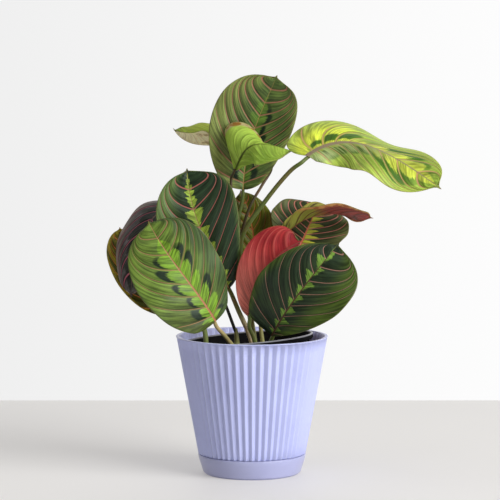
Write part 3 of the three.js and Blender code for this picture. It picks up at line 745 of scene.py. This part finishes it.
class LeafFinish(Finish):
    # a finish with the values that the patterns on both faces are made from, lengths in millimetres
    def __init__(self, name, roughness, specular, look, leaf):
        super().__init__(name, roughness, Specular_IOR_Level=specular)
        self.look = look
        number, across, _ = self.uv("veinMap")
        self.u, reach, _ = self.uv("placeMap")
        v = across * 2 - 1
        self.t = abs(v)
        self.isRight = v.calc("GREATER_THAN", 0.0)
        self.reach = reach * blade["uvReach"]
        offset = self.isRight * (0.5 if leaf["alternate"] else 0.0)
        self.turn = number * blade["uvVeins"] + offset
        self.share = self.turn.calc("FRACT")
        spacing = self.add("ShaderNodeAttribute", {"attribute_name": "spacing"}, {}, "Fac")
        self.veinGap = self.share.calc("MINIMUM", 1 - self.share) * spacing
        self.node = self.u ** blade["veinCrowding"] * leaf["veins"] + offset
        self.side = self.isRight * 31.7 + look["seed"]
        alongVeins = self.vector(self.turn * 8, reach * 5, self.side)
        self.stripes = self.grain(1.0, 4, alongVeins, 0.6).rises(0.3, 0.7)

    def half(self, which):
        # 1 on the half that is meant, 0 on the other
        return self.isRight if which > 0 else 1 - self.isRight if which < 0 else 1.0

    def midribLine(self, width, low, high):
        return (self.reach - width * (1.15 - self.u)).falls(low, high)

    def nearBase(self, cloud, reach):
        return (self.u + (cloud - 0.5) * 0.2).falls(*reach)

    def start(self, low, high, share):
        self.colour = self.mix(low, high, share)

    def lay(self, key, share):
        # lays one of the look's colours over what is there
        self.colour = self.mix(self.colour, self.look[key], share)

    def light(self, amount):
        self.colour = self.shade(self.colour, amount)

    def finished(self, roughness, height, distance):
        self.paint(Base_Color=self.colour, Roughness=roughness)
        self.relief(height, distance, 0.7)
        if self.look["glow"]:
            # light that comes through a thin leaf
            through = self.add("ShaderNodeBsdfTranslucent", {}, {"Color": self.look["glowColour"]})
            shader = Value(self, self.shader.outputs[0])
            mixed = self.add("ShaderNodeMixShader", {}, {0: self.look["glow"], 1: shader, 2: through})
            self.tree.links.new(mixed.socket, self.tree.nodes["Material Output"].inputs["Surface"])
        return self.material


def featherSwell(finish, ragged, toss):
    # how full the feather is beside each point of the midrib
    look = finish.look
    if look["featherKind"] == "lobes":
        return (finish.share * (1 - finish.share) * 4) ** look["featherShape"] * (0.6 + toss * 0.8)
    notched = finish.node + ragged * 0.3
    fan = ((notched.calc("FRACT") - look["fanGap"]) / (1 - look["fanGap"])).most(0.0)
    fanSize = 0.65 + 0.7 * finish.toss(notched.calc("FLOOR") + finish.side)
    swell = fan * fanSize - fan.falls(0, 0.1) * 0.3
    tipSwell = (finish.node * 3.6).calc("FRACT") * 0.45 + 0.1
    tip = finish.u.rises(look["tipFeather"] - 0.01, look["tipFeather"] + 0.01)
    return swell * (1 - tip) + tipSwell * tip


def blotches(finish, limit, ends, ragged, toss, tossB):
    # dark patches beyond the feather, each between two veins
    look, share = finish.look, finish.share
    end = limit + look["blotchLength"] * (0.5 + tossB * 0.8) * ends
    blotch = (finish.reach - limit).rises(0.0, 1.0) * (finish.reach - end + ragged * 9).falls(-1.0, 1.6)
    some = toss.falls(look["blotchShare"], look["blotchShare"] + 0.02)
    near = finish.u.falls(look["blotchTo"] - 0.04, look["blotchTo"] + 0.04)
    return blotch * share.rises(0.06, 0.14) * share.falls(0.86, 0.94) * some * ends * near


def leafFinish(name, look, leaf):
    finish = LeafFinish(name, 0.42, 0.3, look, leaf)
    u, reach, t, turn, stripes = finish.u, finish.reach, finish.t, finish.turn, finish.stripes
    ragged = finish.grain(1.0, 3, finish.vector(turn * 15, reach * 0.09, finish.side), 0.7) - 0.5
    wander = finish.grain(240, 2)
    cloud = finish.grain(55, 3)
    toss = finish.toss(turn.calc("FLOOR") + finish.side)
    tossB = finish.toss(turn.calc("FLOOR") + finish.side + 9.3)

    # how far the feather reaches from the midrib
    low, high = look["featherReach"]
    ends = u.rises(0.0, 0.1) * u.falls(look["featherTo"] - 0.19, look["featherTo"])
    wider = 1 + u.rises(0.3, 0.9) * look["featherWidens"]
    swell = featherSwell(finish, ragged, toss)
    limit = (low + swell * high + ragged * look["ragged"] + (wander - 0.5)) * ends * wider
    feather = (reach - limit).falls(-0.3, 0.3) * finish.half(look["featherHalf"])

    # the field and what lies on it
    finish.start(look["field"], look["fieldLight"], cloud.rises(0.35, 0.7) * 0.6)
    if "base" in look:
        finish.lay("base", finish.nearBase(cloud, look["baseReach"]) * finish.half(look["baseHalf"]))
    edge = t.rises(*look["edgeFrom"])
    if look["edgeHalf"]:
        edge = edge.most(finish.half(look["edgeHalf"]) * t.rises(0.25, 0.85) * abs(look["edgeHalf"]))
    finish.lay("edge", edge)
    if look["blotchLength"]:
        finish.lay("blotch", blotches(finish, limit, ends, ragged, toss, tossB))
    finish.lay("feather", feather * look["featherStrength"])
    if "sheen" in look:
        # a greyish band beside the midrib, from the base on
        band = reach.falls(*look["sheenReach"]) * u.falls(*look["sheenAlong"]) * stripes.rises(0.0, 0.6)
        finish.lay("sheen", band * finish.half(look["sheenHalf"]))

    # fine stripes, the painted shade of the quilting between the veins, the veins with their shadows, the
    # midrib and the rim
    inside = turn.rises(0.3, 0.8) * t.falls(0.88, 0.99)
    veinLine = finish.veinGap.falls(look["veinWidth"] * 0.25, look["veinWidth"] * 0.6) * inside
    veinShadow = finish.veinGap.falls(look["veinWidth"] * 0.5, look["veinWidth"] * 2.2) * inside
    light = (0.42 + stripes * 1.04) * (1 + (finish.share - 0.5) * look["band"])
    finish.light(light * (1 - veinShadow * look["veinShadow"]))
    midribLine = finish.midribLine(look["midribWidth"], -0.25, 0.3)
    finish.lay("vein", veinLine * (0.6 + wander * 0.6))
    finish.lay("midrib", midribLine)
    finish.lay("rim", (t + ragged * 0.01).rises(0.978, 0.995) * 0.7)
    relief = stripes * 0.35 - veinLine * 0.5 - midribLine * 0.6
    return finish.finished(0.36 + 0.14 * stripes, relief, 0.0004)


def underFinish(name, look, leaf):
    finish = LeafFinish(name, 0.5, 0.25, look, leaf)
    u, t, stripes = finish.u, finish.t, finish.stripes
    cloud = finish.grain(45, 3)
    finish.start(look["under"], look["underShade"], cloud.rises(0.4, 0.7) * 0.7)
    if "underBase" in look:
        finish.lay("underBase", finish.nearBase(cloud, look["underBaseReach"]))
    # fine stripes and the painted shade of the quilting, darker just above each vein
    finish.light((0.66 + stripes * 0.54) * (0.88 + finish.share * 0.24))
    # painted light: the underside made lighter, on the half that underLiftHalf names, all over when that is
    # 0
    if look["underLift"] != 1:
        finish.light(1 + finish.half(look["underLiftHalf"]) * (look["underLift"] - 1))
    if "underSpots" in look:
        finish.lay("underSpots", finish.grain(90, 3).rises(0.55, 0.66) * 0.8)
    rib = finish.veinGap.falls(0.2, look["underRibWidth"]) * finish.turn.rises(0.3, 0.8)
    rib = rib * t.falls(0.86, 0.985)
    midribLine = finish.midribLine(look["underMidribWidth"], -0.3, 0.4)
    finish.lay("underRib", rib * look["underRibStrength"])
    finish.lay("underMidrib", midribLine)
    if look["dryWidth"]:
        # a dried band along part of one edge, with brown spots in it
        width, (low, high) = look["dryWidth"], look["dryAlong"]
        band = (t + (cloud - 0.5) * width * 1.6).rises(1 - width, 1 - width * 0.5)
        band = band * u.rises(low - 0.05, low + 0.05) * u.falls(high - 0.05, high + 0.05)
        crisp = finish.mix(look["dry"], look["dryBrown"], finish.grain(160, 3).rises(0.45, 0.6))
        finish.start(finish.colour, crisp, band * finish.half(look["dryHalf"]))
    finish.lay("underEdge", (t + (stripes - 0.5) * 0.02).rises(0.97, 0.99) * 0.8)
    return finish.finished(0.42 + 0.16 * stripes, stripes * 0.35 + rib * 0.5 + midribLine, 0.0005)


def isColour(value):
    return isinstance(value, tuple) and len(value) == 3


shapes = {}
for number, (node, entry) in enumerate(leafTable.items()):
    shapes[node] = leafShape(entry)
    leaf = shapes[node][0]
    look = {**plainLook, **looks[leaf["look"]]}
    look = {key: ink(*value) if isColour(value) else value for key, value in look.items()}
    look["seed"] = number * blade["seedStep"]
    top = leafFinish(leaf["look"] + "Leaf", look, leaf)
    under = underFinish(leaf["look"] + "Underside", look, leaf)
    makeLeaf(node, shapes[node], [top, under])
print("leaves made:", len(shapes))


# Shoots, in millimetres: stems that run through the same points as in the solids. Each has its skin, its
# leaf, its radii at both ends and its points from the foot up to where it bends towards the leaf.

shootTable = {
    "shoot_tall": [
        (
            "olive", None, (3.4, 2.3),
            [(2.5, 6, 100), (2.5, 6, 112), (0, 6, 135), (-6, 6, 168), (-12, 6, 204)],
        ),
        ("olive", "leaf_top", (1.9, 1.4), [(-10, 6, 184), (-12, 9, 216), (-12, 11, 236)]),
        ("dusk", "leaf_folded", (1.4, 1.1), [(-14, 8, 220), (-18, 1, 245), (-19, -4, 260)]),
        (
            "olive", "leaf_long_right", (2.3, 1.7),
            [(-10, 6, 186), (-9, 1, 218), (12, -4, 251), (36, -8, 280)],
        ),
        (
            "dusk", "leaf_back_left", (1.5, 1.1),
            [(-11, 6, 196), (-9, 7, 222), (-2, 10, 245), (9, 17, 264), (18, 26, 279)],
        ),
        ("olive", "leaf_olive_centre", (1.6, 1.3), [(0, 6, 135), (-1, 8, 154)]),
    ],
    "shoot_mid_left": [
        (
            "cream", "leaf_mid_left", (2.8, 1.7),
            [(1, -6, 100), (1, -6, 112), (0.6, -6, 119), (-3, -6, 130), (-12, -8, 150)],
        ),
    ],
    "shoot_left": [
        ("sheath", None, (4.2, 1.5), [(-14, -3, 100), (-14, -3, 112), (-14, -3, 124), (-15, -3, 134)]),
        (
            "night", "leaf_drooping", (1.5, 1.2),
            [(-14, -3, 128), (-25, -4, 158), (-42, -3, 202), (-51, -2, 230)],
        ),
        ("pale", "leaf_front_left", (2.2, 1.6), [(-14, -3, 116), (-18, -16, 120), (-26, -31, 132)]),
    ],
    "shoot_far_left": [
        (
            "leafy", "leaf_olive_left", (2.8, 1.4),
            [(-42.5, -5, 100), (-42.5, -5, 112), (-42.5, -5, 124), (-44.5, -5, 134), (-58, -6.5, 145)],
        ),
    ],
    "shoot_red": [
        (
            "leafy", "leaf_red", (2.4, 1.6),
            [(3.7, -15, 100), (3.7, -15, 112), (3.7, -15, 117), (1.2, -17.6, 128)],
        ),
    ],
    "shoot_right": [
        ("pale", None, (2, 1.7), [(11, 0, 100), (11, 0, 112), (8, -1, 136), (9, 0, 160), (15, 1, 182)]),
        ("olive", "leaf_back_right", (1.6, 1.3), [(9, 0, 160), (15, 1, 182), (28, -4, 198)]),
        ("olive", "leaf_rolled", (1.5, 1.2), [(12, 1, 172), (17, 1, 192), (22, -2, 207)]),
    ],
    "shoot_front_right": [
        ("leafy", "leaf_front_right", (2.2, 1.6), [(13.5, -30, 100), (13.5, -30, 108), (13.5, -30, 117)]),
    ],
}
# each skin's colour at the foot and higher up, its blush and how much of the blush shows
stemSkins = {
    "olive": ((150, 150, 90), (92, 106, 50), (112, 76, 48), 0.5),
    "dusk": ((84, 78, 46), (70, 62, 34), (140, 96, 66), 0.4),
    # the cream at this skin's foot is a painted highlight on an olive stem
    "cream": ((236, 212, 172), (122, 120, 58), (160, 96, 74), 0.6),
    "sheath": ((166, 170, 104), (150, 150, 84), (96, 84, 50), 0.5),
    "pale": ((176, 176, 112), (168, 160, 104), (206, 150, 120), 0.4),
    "leafy": ((134, 150, 82), (112, 132, 66), (160, 150, 90), 0.4),
    "night": ((46, 48, 30), (36, 40, 26), (60, 44, 34), 0.4),
}
seatDrop = 0.72  # from the midrib to the petiole's skin
seatReach = 0.035  # how far along the midrib a petiole runs


def smoothRun(points, perStretch=8):
    # a smooth curve through the points, with even tension at uneven distances
    ends = [points[0] * 2 - points[1]] + points + [points[-1] * 2 - points[-2]]
    run = []
    for a, b, c, d in zip(ends, ends[1:], ends[2:], ends[3:]):
        first, second, third = [max(1e-6, (q - p).length ** 0.5) for p, q in ((a, b), (b, c), (c, d))]
        slopeB = (b - a) / first - (c - a) / (first + second) + (c - b) / second
        slopeC = (c - b) / second - (d - b) / (second + third) + (d - c) / third
        slopeB, slopeC = slopeB * second, slopeC * second
        for k in range(perStretch):
            x = k / perStretch
            y = (2 * x ** 3 - 3 * x * x + 1) * b + (x ** 3 - 2 * x * x + x) * slopeB
            run.append(y + (3 * x * x - 2 * x ** 3) * c + (x ** 3 - x * x) * slopeC)
    return run + [points[-1]]


def petioleEnd(leafName, radius):
    midrib, axes = shapes[leafName][1:3]
    drop = radius + seatDrop
    along, up, _ = axes(0)
    base = midrib[0]
    end = bezier(midrib, seatReach) - axes(seatReach)[1] * drop
    return [base - along * 8 - up * (drop + 0.8), base - along - up * drop, end]


def stemMesh(run, radii):
    curve = bpy.data.curves.new("stem", "CURVE")
    curve.dimensions, curve.bevel_depth, curve.bevel_resolution, curve.use_fill_caps = "3D", mm, 4, True
    line = curve.splines.new("POLY")
    line.points.add(len(run) - 1)
    for point, place, radius in zip(line.points, run, radii):
        point.co = (*(place * mm), 1)
        point.radius = radius
    holder = bpy.data.objects.new("stem", curve)
    mesh = bpy.data.meshes.new_from_object(holder)
    bpy.data.objects.remove(holder)
    return mesh


def stemFinish(name, low, high, blush, blushShare):
    finish = Finish(name + "Stem", 0.42, Specular_IOR_Level=0.35)
    height = finish.parts(finish.place())[2]
    patches = finish.grain(60, 3)
    lines = finish.grain(700, 2)
    colour = finish.mix(ink(*low), ink(*high), (height + patches * 0.02).rises(130 * mm, 165 * mm))
    colour = finish.mix(colour, ink(*blush), patches.rises(0.46, 0.7) * blushShare)
    finish.paint(Base_Color=finish.shade(colour, 0.8 + lines * 0.4), Roughness=0.34 + 0.18 * patches)
    finish.relief(lines, 0.0002, 0.5)
    return finish.material


def makeShoot(node, stems):
    bm = bmesh.new()
    skins = sorted({skin for skin, *_ in stems})
    for skin, leafName, (start, end), points in stems:
        points = [Vector(point) for point in points]
        if leafName:
            points += petioleEnd(leafName, end)
        run = smoothRun(points)
        radii = [blend(start, end, k / (len(run) - 1)) for k in range(len(run))]
        made = len(bm.faces)
        bm.from_mesh(stemMesh(run, radii))
        bm.faces.ensure_lookup_table()
        for face in bm.faces[made:]:
            face.material_index = skins.index(skin)
    bmesh.ops.remove_doubles(bm, verts=bm.verts, dist=1e-7)
    makeObject(node.replace("shoot_", "stems_"), bm, [stemFinishes[skin] for skin in skins], [node])


stemFinishes = {name: stemFinish(name, *skin) for name, skin in stemSkins.items()}
for node, stems in shootTable.items():
    makeShoot(node, stems)
print("shoots made:", len(shootTable))


# Floor, light and camera

studio = {
    "floorSize": (3, 1.5),  # half its width and depth
    "floorBack": 0.445, "floor": ink(195, 193, 190), "floorShade": ink(188, 186, 184),
    "floorGlow": ink(246, 243, 240), "floorGlowStrength": 0.28, "wallSize": 3,
    "wallPlace": (0, 2.6, 0.5), "wallLeft": ink(236, 236, 236), "wallRight": ink(252, 252, 252),
    "air": ink(246, 246, 248), "airStrength": 0.19, "lightAim": Vector((0, 0, 0.18)),
    "lights": {
        "keyLight": {"place": Vector((2.65, -2.0, 1.75)), "power": 154, "size": 2.4},
        "topLight": {"place": Vector((-0.5, -0.4, 2.6)), "power": 15, "size": 2.0},
    },
    "lens": 173.16, "sensor": 36, "eye": Vector((-0.0018, -2.2, 0.396)),
    "aim": Vector((-0.0018, 0, 0.206)),
}


def makePlane(name, finish, spot):
    bm = bmesh.new()
    bmesh.ops.create_grid(bm, x_segments=1, y_segments=1, size=1, matrix=spot)
    plane = linked(name, bm)
    plane.data.materials.append(finish.material)


def makeFloor():
    finish = Finish("paleFloor", 0.6)
    finish.paint(Base_Color=finish.mix(studio["floor"], studio["floorShade"], finish.grain(3, 2)))
    finish.paint(Emission_Color=studio["floorGlow"], Emission_Strength=studio["floorGlowStrength"])
    width, depth = studio["floorSize"]
    middle = Matrix.Translation((0, studio["floorBack"] - depth, 0))
    makePlane("floor", finish, middle @ Matrix.Diagonal((width, depth, 1, 1)))


def makeWall():
    finish = Finish("paleWall", 0.9)
    across = finish.parts(finish.place())[0].rises(-0.9, 0.7)
    # painted light: the wall glows, darker to the left than to the right
    finish.paint(Base_Color=(0, 0, 0, 1), Emission_Strength=1.0)
    finish.paint(Emission_Color=finish.mix(studio["wallLeft"], studio["wallRight"], across))
    upright = Matrix.Translation(studio["wallPlace"]) @ Matrix.Rotation(radians(90), 4, "X")
    makePlane("wall", finish, upright @ Matrix.Scale(studio["wallSize"], 4))


def makeAir():
    world = bpy.data.worlds.new("air")
    world.use_nodes = True
    background = world.node_tree.nodes["Background"]
    background.inputs["Color"].default_value = studio["air"]
    background.inputs["Strength"].default_value = studio["airStrength"]
    bpy.context.scene.world = world


def placeAimed(name, data, place, aim):
    # a light or a camera that looks from its place at a point
    piece = bpy.data.objects.new(name, data)
    turn = (aim - place).to_track_quat("-Z", "Y")
    piece.matrix_world = Matrix.Translation(place) @ turn.to_matrix().to_4x4()
    bpy.context.collection.objects.link(piece)
    return piece


def makeLights():
    for name, light in studio["lights"].items():
        data = bpy.data.lights.new(name, "AREA")
        data.energy, data.size = light["power"], light["size"]
        placeAimed(name, data, light["place"], studio["lightAim"])


def makeCamera():
    data = bpy.data.cameras.new("camera")
    data.lens, data.sensor_width = studio["lens"], studio["sensor"]
    bpy.context.scene.camera = placeAimed("camera", data, studio["eye"], studio["aim"])
    bpy.context.scene.view_settings.view_transform = "Standard"


makeFloor()
makeWall()
makeAir()
makeLights()
makeCamera()
print("studio made")
